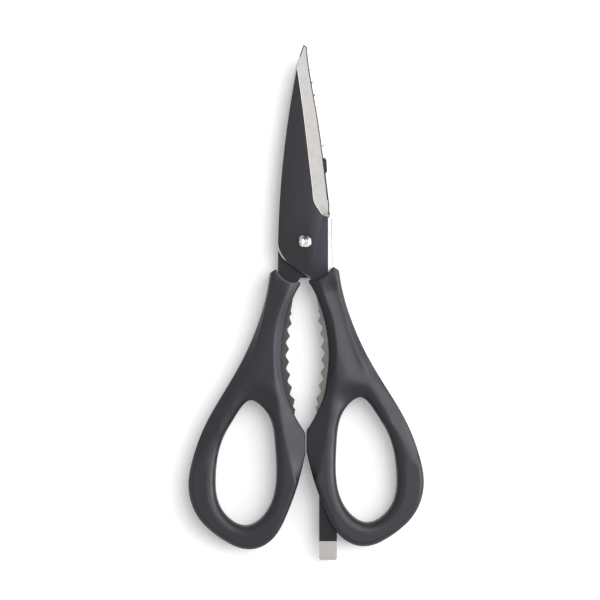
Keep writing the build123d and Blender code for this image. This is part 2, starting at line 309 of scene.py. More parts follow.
@dataclass(frozen=True)
class CoatedSteel:
    """Dark coating on the flat faces of the stampings, with a painted bluish sheen beside the rivet.

    Attributes:
        dark: The darker shade of the clouding.
        light: Its lighter shade.
        painted_sheen: The painted bluish sheen beside the rivet, which stands in for reflected light.
        sheen_across: Where that painted sheen sets in across the blade.
        sheen_low: Where it sets in going up the blade.
        sheen_high: Where it sets in coming down.
        cloud_scale: Clouds in a metre.
        cloud_stretch: The factor on that along each axis.
        fleck_scale: Flecks in a metre.
        fleck_stretch: The factor on that along each axis.
        fleck_depth: How deep the flecks are.
        fleck_strength: How much of them shows.
        rough: The least and the most roughness.
        shine: The level of the mirror light.
    """

    dark: tuple[float, float, float] = (0.0055, 0.0055, 0.0080)
    light: tuple[float, float, float] = (0.0110, 0.0110, 0.0155)
    # Painted sheen: a lighter, bluer colour towards the right of the plate, standing in for reflected
    # light.
    painted_sheen: tuple[float, float, float] = (0.034, 0.038, 0.050)
    sheen_across: tuple[float, float] = (-1.0 * MM, 9.0 * MM)
    sheen_low: tuple[float, float] = (8.0 * MM, 20.0 * MM)
    sheen_high: tuple[float, float] = (52.0 * MM, 32.0 * MM)
    cloud_scale: float = 60.0
    cloud_stretch: tuple[float, float, float] = (1.0, 0.35, 1.0)
    fleck_scale: float = 5200.0
    fleck_stretch: tuple[float, float, float] = (1.0, 0.3, 1.0)
    fleck_depth: float = 0.004 * MM
    fleck_strength: float = 0.6
    rough: tuple[float, float] = (0.34, 0.44)
    shine: float = 0.27

    def build(self) -> bpy.types.Material:
        """Makes the material: slow clouding, a painted bluish sheen beside the rivet, fine flecks and a
        faint drag along the blade.

        Returns:
            The coating.
        """
        nodes = Nodes("coated_steel")
        clouds = nodes.noise(nodes.mapped(self.cloud_stretch), self.cloud_scale)
        flecks = nodes.noise(nodes.mapped(self.fleck_stretch), self.fleck_scale, detail=2.0)
        # Painted sheen: the colour turns lighter and bluer towards the right of the plate, in a band up the
        # blade.
        sheen_band = nodes.times(nodes.along(1, *self.sheen_low), nodes.along(1, *self.sheen_high))
        sheen_mask = nodes.times(nodes.along(0, *self.sheen_across), sheen_band)
        colour = nodes.toward(sheen_mask, nodes.tint(clouds, self.dark, self.light), self.painted_sheen)
        rough = nodes.spread(clouds, *NOISE_SPAN, *self.rough)
        normal = nodes.bump(flecks, self.fleck_depth, self.fleck_strength)
        return nodes.surface(colour, rough, normal, Specular_IOR_Level=self.shine)


@dataclass(frozen=True)
class BareSteel:
    """Bare steel, with the grain that the wheel left on it.

    Attributes:
        name: The material's name.
        dull: The darker shade.
        bright: The lighter shade.
        rough: The least and the most roughness.
        grain: The factor on the grain's fineness along each axis.
        turn: The grain's turn in degrees.
        fineness: Lines of grain in a metre.
        grain_share: How much of the shade comes from the grain.
        grain_depth: How deep the grain is.
        grain_strength: How much of it shows.
        patch_scale: Slow patches in a metre.
        patch_span: The values of the patches between which the shade changes.
        patch_share: How much of the shade comes from the patches.
    """

    name: str
    dull: tuple[float, float, float]
    bright: tuple[float, float, float]
    rough: tuple[float, float]
    grain: tuple[float, float, float] = (1.0, 0.06, 1.0)
    turn: float = 0.0
    fineness: float = 5200.0
    grain_share: float = 0.6
    grain_depth: float = 0.012 * MM
    grain_strength: float = 0.5
    patch_scale: float = 420.0
    patch_span: tuple[float, float] = (0.25, 0.75)
    patch_share: float = 0.4

    def build(self) -> bpy.types.Material:
        """Makes the material: long fine grain in the colour, roughness and bump, over slow patches.

        Returns:
            The bare steel.
        """
        nodes = Nodes(self.name)
        lines = nodes.noise(nodes.mapped(self.grain, self.turn), self.fineness, detail=4.0, roughness=0.65)
        patches = nodes.noise(nodes.mapped(EVEN), self.patch_scale, detail=4.0)
        mixed = nodes.add("ShaderNodeMath", operation="MULTIPLY_ADD")
        mixed.inputs[1].default_value = self.grain_share
        nodes.join(lines, mixed, 0)
        nodes.join(nodes.spread(patches, *self.patch_span, 0.0, self.patch_share), mixed, 2)
        colour = nodes.tint(mixed.outputs[0], self.dull, self.bright)
        rough = nodes.spread(lines, *NOISE_SPAN, *self.rough)
        normal = nodes.bump(lines, self.grain_depth, self.grain_strength)
        return nodes.surface(colour, rough, normal, Metallic=1.0)


@dataclass(frozen=True)
class MattePlastic:
    """Black moulded plastic with a fine spark-eroded texture.

    Attributes:
        dark: The darker shade of the texture.
        light: Its lighter shade.
        grain_scale: Grains in a metre.
        grain_depth: How deep the grain is.
        grain_strength: How much of it shows.
        sheen_scale: Changes of sheen in a metre.
        rough: The least and the most roughness.
        shine: The level of the mirror light.
    """

    dark: tuple[float, float, float] = (0.0050, 0.0050, 0.0090)
    light: tuple[float, float, float] = (0.0098, 0.0098, 0.0160)
    grain_scale: float = 3600.0
    grain_depth: float = 0.03 * MM
    grain_strength: float = 0.35
    sheen_scale: float = 70.0
    rough: tuple[float, float] = (0.36, 0.46)
    shine: float = 0.44

    def build(self) -> bpy.types.Material:
        """Makes the material: fine texture over slow changes of sheen.

        Returns:
            The plastic.
        """
        nodes = Nodes("handle_plastic")
        grain = nodes.noise(nodes.mapped(EVEN), self.grain_scale, roughness=0.6)
        slow = nodes.noise(nodes.mapped(EVEN), self.sheen_scale, detail=2.0)
        colour = nodes.tint(grain, self.dark, self.light)
        rough = nodes.spread(slow, *NOISE_SPAN, *self.rough)
        normal = nodes.bump(grain, self.grain_depth, self.grain_strength)
        return nodes.surface(colour, rough, normal, Specular_IOR_Level=self.shine)


@dataclass(frozen=True)
class BrightSteel:
    """Bright plated steel, with painted shade in its dents and a painted dark reflection at the head's
    upper right.

    Attributes:
        colour: The plating.
        shade: The painted darker colour in the dents, which stands in for dark reflections among the
            plating's random mottling.
        painted_dark_reflection: The colour of the painted dark reflection.
        dark_reflection_across: Where the painted dark reflection sets in across the head.
        dark_reflection_up: Where it sets in up the head.
        dent_scale: Dents in a metre.
        dent_span: The values of the dents between which the shade changes.
        dent_depth: How deep the dents are.
        dent_strength: How much of them shows.
        rough: The least and the most roughness.
    """

    colour: tuple[float, float, float] = (0.88, 0.87, 0.86)
    # Painted shade: the plating's random mottling is coloured darker in the dents, standing in for dark
    # reflections.
    shade: tuple[float, float, float] = (0.42, 0.41, 0.40)
    # Painted dark reflection: a darker colour at the head's upper right, standing in for the dark
    # surroundings that a mirror head would show.
    painted_dark_reflection: tuple[float, float, float] = (0.060, 0.065, 0.095)
    dark_reflection_across: tuple[float, float] = (-2.2 * MM, -0.6 * MM)
    dark_reflection_up: tuple[float, float] = (25.4 * MM, 27.0 * MM)
    dent_scale: float = 620.0
    dent_span: tuple[float, float] = (0.42, 0.58)
    dent_depth: float = 0.05 * MM
    dent_strength: float = 0.5
    rough: tuple[float, float] = (0.10, 0.22)

    def build(self) -> bpy.types.Material:
        """Makes the material: near mirror, with shallow dents painted darker as shade, and a painted dark
        reflection at the head's upper right.

        Returns:
            The plated steel.
        """
        nodes = Nodes("rivet_steel")
        dents = nodes.noise(nodes.mapped(EVEN), self.dent_scale, detail=2.0)
        # Random mottling, darker in the dents: partly tone, partly painted shade that stands in for dark
        # reflections.
        plated = nodes.tint(nodes.spread(dents, *self.dent_span, 0.0, 1.0), self.shade, self.colour)
        # Painted dark reflection, set in towards the head's upper right.
        dark_reflection_mask = nodes.times(nodes.along(0, *self.dark_reflection_across), nodes.along(1, *self.dark_reflection_up))
        colour = nodes.toward(dark_reflection_mask, plated, self.painted_dark_reflection)
        rough = nodes.spread(dents, *NOISE_SPAN, *self.rough)
        normal = nodes.bump(dents, self.dent_depth, self.dent_strength)
        return nodes.surface(colour, rough, normal, Metallic=1.0)


class Bench:
    """Modelling steps shared by the pieces, each done with Blender's own operators."""

    @staticmethod
    def clear() -> None:
        """Leaves edit mode and deselects everything."""
        if bpy.context.object is not None and bpy.context.object.mode != "OBJECT":
            bpy.ops.object.mode_set(mode="OBJECT")
        bpy.ops.object.select_all(action="DESELECT")

    @staticmethod
    def pick(piece: bpy.types.Object) -> None:
        """Makes one piece the only selected and active one.

        Args:
            piece: The piece.
        """
        Bench.clear()
        piece.select_set(True)
        bpy.context.view_layer.objects.active = piece

    @staticmethod
    def copy_of(node: str, name: str) -> bpy.types.Object:
        """A merged copy of a CAD node, to be dressed in its place.

        Args:
            node: The CAD node.
            name: The copy's name.

        Returns:
            The copy, with its loose triangles merged.
        """
        Bench.pick(frame["nodes"][node])
        bpy.ops.object.duplicate()
        piece = bpy.context.object
        piece.name = name
        piece.data.name = name
        piece.parent = None
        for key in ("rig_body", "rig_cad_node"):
            if key in piece:
                del piece[key]
        piece.data.materials.clear()
        Bench.edit_all(piece)
        bpy.ops.mesh.remove_doubles(threshold=MERGE_WITHIN)
        bpy.ops.object.mode_set(mode="OBJECT")
        if piece.data.has_custom_normals:
            bpy.ops.mesh.customdata_custom_splitnormals_clear()
        return piece

    @staticmethod
    def edit_all(piece: bpy.types.Object) -> None:
        """Opens a piece in edit mode with all of it selected.

        Args:
            piece: The piece.
        """
        Bench.pick(piece)
        bpy.ops.object.mode_set(mode="EDIT")
        bpy.ops.mesh.select_all(action="SELECT")

    @staticmethod
    def select_none(piece: bpy.types.Object, kind: str) -> None:
        """Makes a piece the active one, with nothing of it selected.

        Args:
            piece: The piece.
            kind: What is to be selected next, "FACE" or "EDGE".
        """
        Bench.pick(piece)
        bpy.ops.object.mode_set(mode="EDIT")
        bpy.ops.mesh.select_mode(type=kind)
        bpy.ops.mesh.select_all(action="DESELECT")
        bpy.ops.object.mode_set(mode="OBJECT")

    @staticmethod
    def select_faces(piece: bpy.types.Object, test: Callable[[bpy.types.MeshPolygon], bool]) -> None:
        """Opens a piece in edit mode with the faces that pass a test selected.

        Args:
            piece: The piece, which becomes the active one.
            test: Says whether a face is wanted.
        """
        Bench.select_none(piece, "FACE")
        for face in piece.data.polygons:
            face.select = test(face)
        bpy.ops.object.mode_set(mode="EDIT")

    @staticmethod
    def flatten(piece: bpy.types.Object) -> None:
        """Joins the loose triangles of each flat face of a piece.

        Args:
            piece: The piece.
        """
        Bench.edit_all(piece)
        bpy.ops.mesh.dissolve_limited(angle_limit=math.radians(FLAT_WITHIN))
        bpy.ops.object.mode_set(mode="OBJECT")

    @staticmethod
    def faces_beside(piece: bpy.types.Object) -> dict[tuple[int, int], list[bpy.types.MeshPolygon]]:
        """The faces on each edge of a piece, by the edge's two vertices.

        Args:
            piece: The piece.

        Returns:
            The faces, listed by the numbers of the two vertices, lower first.
        """
        beside: dict[tuple[int, int], list[bpy.types.MeshPolygon]] = {}
        for face in piece.data.polygons:
            for key in face.edge_keys:
                beside.setdefault(key, []).append(face)
        return beside

    @staticmethod
    def ease_edges(piece: bpy.types.Object, width: float,
                   test: Callable[[list[bpy.types.MeshPolygon]], bool], finish: int,
                   clamp: bool = True) -> int:
        """Takes a narrow flat off the edges whose two faces pass a test.

        Args:
            piece: The piece.
            width: How far the flat reaches into each face, in metres.
            test: Says whether the edge between two faces is wanted.
            finish: The slot that the flat takes.
            clamp: Whether all the flats narrow where one face is small.

        Returns:
            How many edges were taken.
        """
        Bench.select_none(piece, "EDGE")
        beside = Bench.faces_beside(piece)
        count = 0
        for edge in piece.data.edges:
            faces = beside.get(tuple(sorted(edge.vertices)), [])
            edge.select = len(faces) == 2 and test(faces)
            count += edge.select
        bpy.ops.object.mode_set(mode="EDIT")
        bpy.ops.mesh.bevel(offset=width, segments=1, clamp_overlap=clamp, material=finish)
        bpy.ops.object.mode_set(mode="OBJECT")
        return count

    @staticmethod
    def cut_at(piece: bpy.types.Object, point: Vector, normal: Vector) -> None:
        """Cuts a piece's faces along a plane, without taking any away.

        Args:
            piece: The piece.
            point: A point of the plane.
            normal: The direction square to it.
        """
        Bench.edit_all(piece)
        bpy.ops.mesh.bisect(plane_co=point, plane_no=normal)
        bpy.ops.object.mode_set(mode="OBJECT")

    @staticmethod
    def modify(piece: bpy.types.Object, kind: str, **settings: object) -> None:
        """Adds a modifier and applies it.

        Args:
            piece: The piece.
            kind: The modifier's type.
            **settings: The modifier's settings.
        """
        Bench.pick(piece)
        bpy.ops.object.modifier_add(type=kind)
        modifier = piece.modifiers[-1]
        for key, value in settings.items():
            setattr(modifier, key, value)
        bpy.ops.object.modifier_apply(modifier=modifier.name)

    @staticmethod
    def dress(piece: bpy.types.Object, finishes: Sequence[bpy.types.Material],
              choose: Callable[[bpy.types.MeshPolygon], int] | None = None) -> None:
        """Gives a piece its finishes.

        Args:
            piece: The piece.
            finishes: Its materials, in slot order.
            choose: Says which slot a face takes. All take the first without it.
        """
        piece.data.materials.clear()
        for finish in finishes:
            piece.data.materials.append(finish)
        for face in piece.data.polygons:
            face.material_index = choose(face) if choose else 0

    @staticmethod
    def smooth(piece: bpy.types.Object, angle: float) -> None:
        """Shades a piece smooth across edges flatter than an angle in degrees."""
        Bench.pick(piece)
        bpy.ops.object.shade_smooth_by_angle(angle=math.radians(angle))


@dataclass
class Blade:
    """One stamping, dressed with coating on its flats and bare steel where it is ground.

    Attributes:
        node: The CAD node that it dresses.
        body: The half that it belongs to.
        jaw_top: Where the jaw's mill finish starts, going down the tang.
        jaw_bottom: Where it ends.
        driver_ground: Where the ground driver tip starts.
        scaler_foot: The lower of two places on the inner side of the scaler's strip.
        scaler_head: The upper one.
        strip: How far the bright strip beside the rivet reaches along the blade.
        strip_side: Where that strip starts across the blade.
        heel: The corner beyond which the ground bevel curves into its heel, which is painted dark as shade.
        flat: How far a flat face looks up, at least.
        slope: How far the bevel looks up, at least.
        wall: How far a sheared wall looks up, at most.
        step_across: How square to the blade's length a tooth's step stands, at least.
        flat_side: How square to it the rim of the bright strip stands, at least.
        worn_line: The width of the worn line where the coating stops.
        shade_line: The width of the painted shade line along the cutting edge.
        step_line: The width of the flat on a tooth's step, painted dark as the step's shadow.
        eased_line: The width of the flat on the other rims.
        sharp: Edges that turn by more degrees than this are shaded sharp.
    """

    node: str
    body: Body
    jaw_top: float = 4.0 * MM
    jaw_bottom: float = -50.0 * MM
    driver_ground: float = -99.6 * MM
    scaler_foot: tuple[float, float] | None = None
    scaler_head: tuple[float, float] | None = None
    strip: tuple[float, float] | None = None
    strip_side: float = 9.4 * MM
    heel: tuple[float, float] = (9.2 * MM, 42.3 * MM)
    flat: float = 0.995
    slope: float = 0.78
    wall: float = 0.20
    step_across: float = 0.80
    flat_side: float = 0.98
    worn_line: float = 0.09 * MM
    shade_line: float = 0.50 * MM
    step_line: float = 0.40 * MM
    eased_line: float = 0.09 * MM
    sharp: float = 18.0

    def build(self, finishes: Sequence[bpy.types.Material]) -> bpy.types.Object:
        """Copies the CAD stamping, dresses it and eases its edges.

        Args:
            finishes: The materials, in the order of Finish.

        Returns:
            The dressed blade.
        """
        piece = Bench.copy_of(self.node, self.node + "_dressed")
        Bench.flatten(piece)
        for height in (self.jaw_top, self.jaw_bottom, self.driver_ground):
            Bench.cut_at(piece, height * ALONG, ALONG)
        Bench.cut_at(piece, self.heel[0] * ACROSS, ACROSS)
        Bench.cut_at(piece, self.heel[1] * ALONG, ALONG)
        if self.scaler_foot:
            foot = Vector((*self.scaler_foot, 0.0))
            Bench.cut_at(piece, foot, self.scaler_side())
            Bench.cut_at(piece, foot, ALONG)
        for height in self.strip or ():
            Bench.cut_at(piece, height * ALONG, ALONG)
        Bench.dress(piece, finishes, self.finish_of)
        shade_strip = self.paint_edge_shade(piece)
        # The flats on the teeth's steps and on the rim of the bright strip are painted dark, as their
        # shadow.
        steps = Bench.ease_edges(piece, self.step_line, self.shine_meets_wall, Finish.HONED, clamp=False)
        worn = Bench.ease_edges(piece, self.worn_line, self.coat_meets_bevel, Finish.GROUND)
        eased = Bench.ease_edges(piece, self.eased_line, self.flat_meets_wall, Finish.GROUND)
        log.info("%s: %d honed faces, and %d step, %d worn and %d eased edges",
                 piece.name, shade_strip, steps, worn, eased)
        Bench.smooth(piece, self.sharp)
        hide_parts(self.node)
        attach(piece, self.body.value)
        return piece

    def scaler_side(self) -> Vector:
        """The direction across the scaler's ground strip, out of the blade."""
        run = Vector((*self.scaler_head, 0.0)) - Vector((*self.scaler_foot, 0.0))
        return Vector((run.y, -run.x, 0.0)).normalized()

    def is_polished(self, place: Vector) -> bool:
        """Whether a place is on the scaler's strip or on the bright strip beside the rivet.

        Args:
            place: The place.

        Returns:
            Whether it is polished.
        """
        if self.strip and self.strip[0] < place.y < self.strip[1] and place.x > self.strip_side:
            return True
        if not self.scaler_foot or place.y < self.scaler_foot[1]:
            return False
        return (place - Vector((*self.scaler_foot, 0.0))).dot(self.scaler_side()) > 0.0

    def finish_of(self, face: bpy.types.MeshPolygon) -> int:
        """Coating on the flats, bare steel on what is ground, a grey mill finish at the jaw, and painted
        shade at the bevel's heel.

        Args:
            face: A face of the blade.

        Returns:
            The slot of its finish.
        """
        along, upright = face.center.y, self.upright(face)
        if self.is_polished(face.center):
            return Finish.POLISHED
        if along < self.driver_ground or upright < self.slope:
            return Finish.GROUND
        if upright < self.flat:
            # The bevel's heel is painted dark, as shade.
            at_heel = face.center.x > self.heel[0] and along < self.heel[1]
            return Finish.HONED if at_heel else Finish.BEVEL
        return Finish.MILL if self.jaw_bottom < along < self.jaw_top else Finish.COAT

    def coat_meets_bevel(self, faces: list[bpy.types.MeshPolygon]) -> bool:
        """Whether an edge lies between the coated flat and the ground bevel."""
        return {face.material_index for face in faces} == {Finish.COAT, Finish.BEVEL}

    def paint_edge_shade(self, piece: bpy.types.Object) -> int:
        """Insets the ground bevel and paints the strip along its cutting edge near-black, as the edge's
        shade.

        Args:
            piece: The blade.

        Returns:
            How many faces the strip has.
        """
        Bench.select_faces(piece, lambda face: face.material_index == Finish.BEVEL
                           and face.center.y > self.heel[1])
        bpy.ops.mesh.inset(thickness=self.shade_line)
        bpy.ops.object.mode_set(mode="OBJECT")
        count = 0
        for faces in Bench.faces_beside(piece).values():
            wall, top = min(faces, key=self.upright), max(faces, key=self.upright)
            if self.upright(wall) < self.wall and top.material_index == Finish.BEVEL and not top.select:
                top.material_index = Finish.HONED
                count += 1
        return count

    @staticmethod
    def upright(face: bpy.types.MeshPolygon) -> float:
        """How much a face looks up or down, 0 for a wall and 1 for a flat."""
        return abs(face.normal.z)

    def shine_meets_wall(self, faces: list[bpy.types.MeshPolygon]) -> bool:
        """Whether an edge is a scaler tooth's step or the rim of the strip beside the rivet.

        Args:
            faces: The two faces that meet at the edge.

        Returns:
            Whether it is one of them.
        """
        wall, top = sorted(faces, key=self.upright)
        if self.upright(wall) > self.wall or top.material_index != Finish.POLISHED:
            return False
        if top.center.y > self.scaler_foot[1] + self.step_line:
            return abs(wall.normal.y) > self.step_across
        return wall.normal.x > self.flat_side

    def flat_meets_wall(self, faces: list[bpy.types.MeshPolygon]) -> bool:
        """Whether an edge is a rim, between a flat face and a sheared wall."""
        wall, top = sorted(self.upright(face) for face in faces)
        return wall < self.wall and top > self.flat


@dataclass
class Handle:
    """One moulding, with softened creases, a soft thumb hollow and a fine texture.

    Attributes:
        node: The CAD node that it dresses.
        body: The half that it belongs to.
        hollow: The middle of the thumb hollow.
        bend: The middle of the outer bend of the loop.
        ridge: The two ends of the neck's outer edge.
        ridge_near: How near to that edge a face is lowered in full.
        ridge_drop: How far it is lowered.
        ridge_reach: How far round it the lowering fades out.
        hollow_reach: How far round the hollow the smoothing goes.
        hollow_blend: How often the hollow is smoothed.
        bend_reach: How far round the bend the smoothing goes.
        bend_blend: How often the bend is smoothed.
        voxel: The grid that the moulding is remeshed on.
        soften: How often the whole moulding is smoothed.
        smoothing: How strong each smoothing is.
        middle: The height of the moulding's middle.
        side_share: The share of that height by which an upper or lower face is off the middle.
        feather: The shares of a reach that are smoothed one after another.
    """

    node: str
    body: Body
    hollow: tuple[float, float]
    bend: tuple[float, float]
    ridge: tuple[tuple[float, float], tuple[float, float]]
    ridge_near: float = 1.6 * MM
    ridge_drop: float = 0.7 * MM
    ridge_reach: float = 7.2 * MM
    hollow_reach: float = 14.5 * MM
    hollow_blend: int = 90
    bend_reach: float = 9.0 * MM
    bend_blend: int = 70
    voxel: float = 0.42 * MM
    soften: int = 3
    smoothing: float = 0.5
    middle: float = 6.0 * MM
    side_share: float = 0.45
    feather: tuple[float, ...] = (1.08, 1.0, 0.92, 0.84, 0.76, 0.68)

    def build(self, plastic: bpy.types.Material) -> bpy.types.Object:
        """Copies the CAD moulding, softens its creases and blends its thumb hollow.

        Args:
            plastic: The moulding's material.

        Returns:
            The dressed handle.
        """
        piece = Bench.copy_of(self.node, self.node + "_moulding")
        Bench.modify(piece, "REMESH", mode="VOXEL", voxel_size=self.voxel, use_smooth_shade=True)
        Bench.modify(piece, "SMOOTH", factor=self.smoothing, iterations=self.soften)
        self.lean(piece)
        self.blend(piece, self.hollow, self.hollow_reach, self.hollow_blend)
        self.blend(piece, self.bend, self.bend_reach, self.bend_blend)
        Bench.dress(piece, [plastic])
        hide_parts(self.node)
        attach(piece, self.body.value)
        return piece

    def lean(self, piece: bpy.types.Object) -> None:
        """Lowers the outer edge of the neck's upper face, so that the face leans outward.

        Args:
            piece: The moulding.
        """
        Bench.select_faces(piece, lambda face: face.center.z > self.middle and self.near_ridge(face.center))
        bpy.ops.transform.translate(value=(0.0, 0.0, -self.ridge_drop), use_proportional_edit=True,
                                    use_proportional_connected=True, proportional_edit_falloff="SMOOTH",
                                    proportional_size=self.ridge_reach)
        bpy.ops.object.mode_set(mode="OBJECT")

    def near_ridge(self, place: Vector) -> bool:
        """Whether a place is beside the neck's outer edge, seen from above.

        Args:
            place: The place.

        Returns:
            Whether it is near enough to be lowered in full.
        """
        start, end = (Vector((*spot, 0.0)) for spot in self.ridge)
        spot = Vector((place.x, place.y, 0.0))
        foot, share = intersect_point_line(spot, start, end)
        return 0.0 <= share <= 1.0 and (foot - spot).length < self.ridge_near

    def blend(self, piece: bpy.types.Object, place: tuple[float, float], reach: float, times: int) -> None:
        """Smooths the upper and lower sides round one place.

        Args:
            piece: The moulding.
            place: The middle of the stretch.
            reach: How far from there it goes.
            times: How often it is smoothed.
        """
        for share in self.feather:
            Bench.select_faces(piece, lambda face: math.dist(face.center[:2], place) < reach * share
                               and abs(face.center.z - self.middle) > self.side_share * self.middle)
            bpy.ops.mesh.vertices_smooth(factor=self.smoothing, repeat=times // len(self.feather))
            bpy.ops.object.mode_set(mode="OBJECT")


@dataclass
class Rivet:
    """The rivet: a staked, dimpled head on a round shank that grows out of a flat tail.

    Attributes:
        node: The CAD node that it stands for.
        body: The half that it belongs to.
        centre: The pivot's place, seen from above.
        head_side: The width of the rounded square head.
        head_corner: The radius of its corners.
        head_foot: The height of its underside.
        head_wall: The height of its upright rim.
        rises: Each step of the dome: its height, and the share of the width that it keeps.
        dimple_rim: The width of the ring round the dimple.
        dimple_depth: How deep the dimple is.
        dimple_share: The dimple's floor, as a share of its mouth.
        edge_round: The rounding of the head's edges.
        edge_angle: Edges that turn by more degrees than this are rounded.
        shank_radius: The radius of the shank.
        tail_radius: The radius of the tail.
        tail_top: The height where the shank leaves the tail.
        tail_height: How thick the tail is.
        tail_round: The rounding of its rim.
        sharp: Edges that turn by more degrees than this are shaded sharp.
    """

    node: str = "pivot_rivet"
    body: Body = Body.BACK
    centre: tuple[float, float] = (-0.44 * MM, 25.5 * MM)
    head_side: float = 5.2 * MM
    head_corner: float = 1.7 * MM
    head_foot: float = 8.6 * MM
    head_wall: float = 0.35 * MM
    rises: tuple[tuple[float, float], ...] = ((0.30 * MM, 0.93), (0.25 * MM, 0.86), (0.15 * MM, 0.78))
    dimple_rim: float = 0.60 * MM
    dimple_depth: float = 0.30 * MM
    dimple_share: float = 0.6
    edge_round: float = 0.12 * MM
    edge_angle: float = 12.0
    shank_radius: float = 2.0 * MM
    tail_radius: float = 3.0 * MM
    tail_top: float = 2.95 * MM
    tail_height: float = 0.9 * MM
    tail_round: float = 0.3 * MM
    sharp: float = 50.0

    def build(self, bright: bpy.types.Material) -> bpy.types.Object:
        """Models the head and the shank with its tail, and joins them.

        Args:
            bright: The plated steel.

        Returns:
            The rivet.
        """
        shank = self.shank()
        piece = self.head()
        Bench.pick(piece)
        shank.select_set(True)
        bpy.ops.object.join()
        Bench.dress(piece, [bright])
        Bench.smooth(piece, self.sharp)
        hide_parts(self.node)
        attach(piece, self.body.value)
        return piece

    def head(self) -> bpy.types.Object:
        """The head: a rounded square, domed in three steps, with a shallow dimple.

        Returns:
            The head.
        """
        Bench.clear()
        place = (*self.centre, self.head_foot + self.head_wall / 2)
        bpy.ops.mesh.primitive_cube_add(size=1.0, location=place,
                                        scale=(self.head_side, self.head_side, self.head_wall))
        bpy.ops.object.transform_apply(location=True, rotation=False, scale=True)
        piece = bpy.context.object
        piece.name = "staked_rivet"
        piece.data.name = "staked_rivet"
        Bench.select_none(piece, "EDGE")
        for edge in piece.data.edges:
            low, high = (piece.data.vertices[index].co for index in edge.vertices)
            edge.select = abs(low.z - high.z) > self.head_wall / 2
        bpy.ops.object.mode_set(mode="EDIT")
        bpy.ops.mesh.bevel(offset=self.head_corner, segments=10)
        bpy.ops.object.mode_set(mode="OBJECT")
        top = self.head_foot + self.head_wall
        Bench.select_faces(piece, lambda face: face.center.z > top - self.head_wall / 4)
        middle = (*self.centre, 0.0)
        for rise, share in self.rises:
            bpy.ops.mesh.extrude_region_move(TRANSFORM_OT_translate={"value": (0.0, 0.0, rise)})
            bpy.ops.transform.resize(value=(share, share, 1.0), center_override=middle)
        bpy.ops.mesh.inset(thickness=self.dimple_rim)
        bpy.ops.mesh.extrude_region_move(TRANSFORM_OT_translate={"value": (0.0, 0.0, -self.dimple_depth)})
        bpy.ops.transform.resize(value=(self.dimple_share, self.dimple_share, 1.0), center_override=middle)
        bpy.ops.object.mode_set(mode="OBJECT")
        Bench.modify(piece, "BEVEL", width=self.edge_round, segments=3, limit_method="ANGLE",
                     angle_limit=math.radians(self.edge_angle))
        return piece

    def shank(self) -> bpy.types.Object:
        """The flat tail with a rounded rim, drawn up into the round shank through both blades.

        Returns:
            The tail and the shank in one.
        """
        Bench.clear()
        foot = self.tail_top - self.tail_height
        bpy.ops.mesh.primitive_cylinder_add(vertices=64, radius=self.tail_radius, depth=self.tail_height,
                                            location=(*self.centre, foot + self.tail_height / 2))
        bpy.ops.object.transform_apply(location=True, rotation=False, scale=True)
        piece = bpy.context.object
        rise = self.head_foot - self.tail_top
        Bench.select_faces(piece, lambda face: face.center.z > self.tail_top - self.tail_round / 2)
        bpy.ops.mesh.inset(thickness=self.tail_radius - self.shank_radius)
        bpy.ops.mesh.extrude_region_move(TRANSFORM_OT_translate={"value": (0.0, 0.0, rise)})
        bpy.ops.object.mode_set(mode="OBJECT")
        Bench.select_faces(piece, lambda face: face.center.z < foot + self.tail_round / 2)
        bpy.ops.mesh.bevel(offset=self.tail_round, segments=5)
        bpy.ops.object.mode_set(mode="OBJECT")
        return piece


@dataclass
class Washer:
    """The flat washer behind the back blade, shown as the CAD node itself."""

    node: str = "rivet_washer"

    def build(self, bright: bpy.types.Material) -> bpy.types.Object:
        """Dresses the CAD washer in plated steel.

        Args:
            bright: The plated steel.

        Returns:
            The washer.
        """
        piece = frame["nodes"][self.node]
        piece.data.materials.clear()
        piece.data.materials.append(bright)
        return piece


@dataclass(frozen=True)
class Lamp:
    """One round soft lamp, aimed at the shears."""

    name: str
    place: tuple[float, float, float]
    size: float
    power: float
    colour: tuple[float, float, float] = (1.0, 1.0, 1.0)

    def build(self) -> bpy.types.Object:
        """Makes the lamp and puts it in the scene.

        Returns:
            The lamp.
        """
        data = bpy.data.lights.new(self.name, "AREA")
        data.shape = "DISK"
        data.size = self.size
        data.energy = self.power
        data.color = self.colour
        lamp = bpy.data.objects.new(self.name, data)
        lamp.location = self.place
        lamp.rotation_euler = (-Vector(self.place)).to_track_quat("-Z", "Y").to_euler()
        bpy.context.scene.collection.objects.link(lamp)
        return lamp


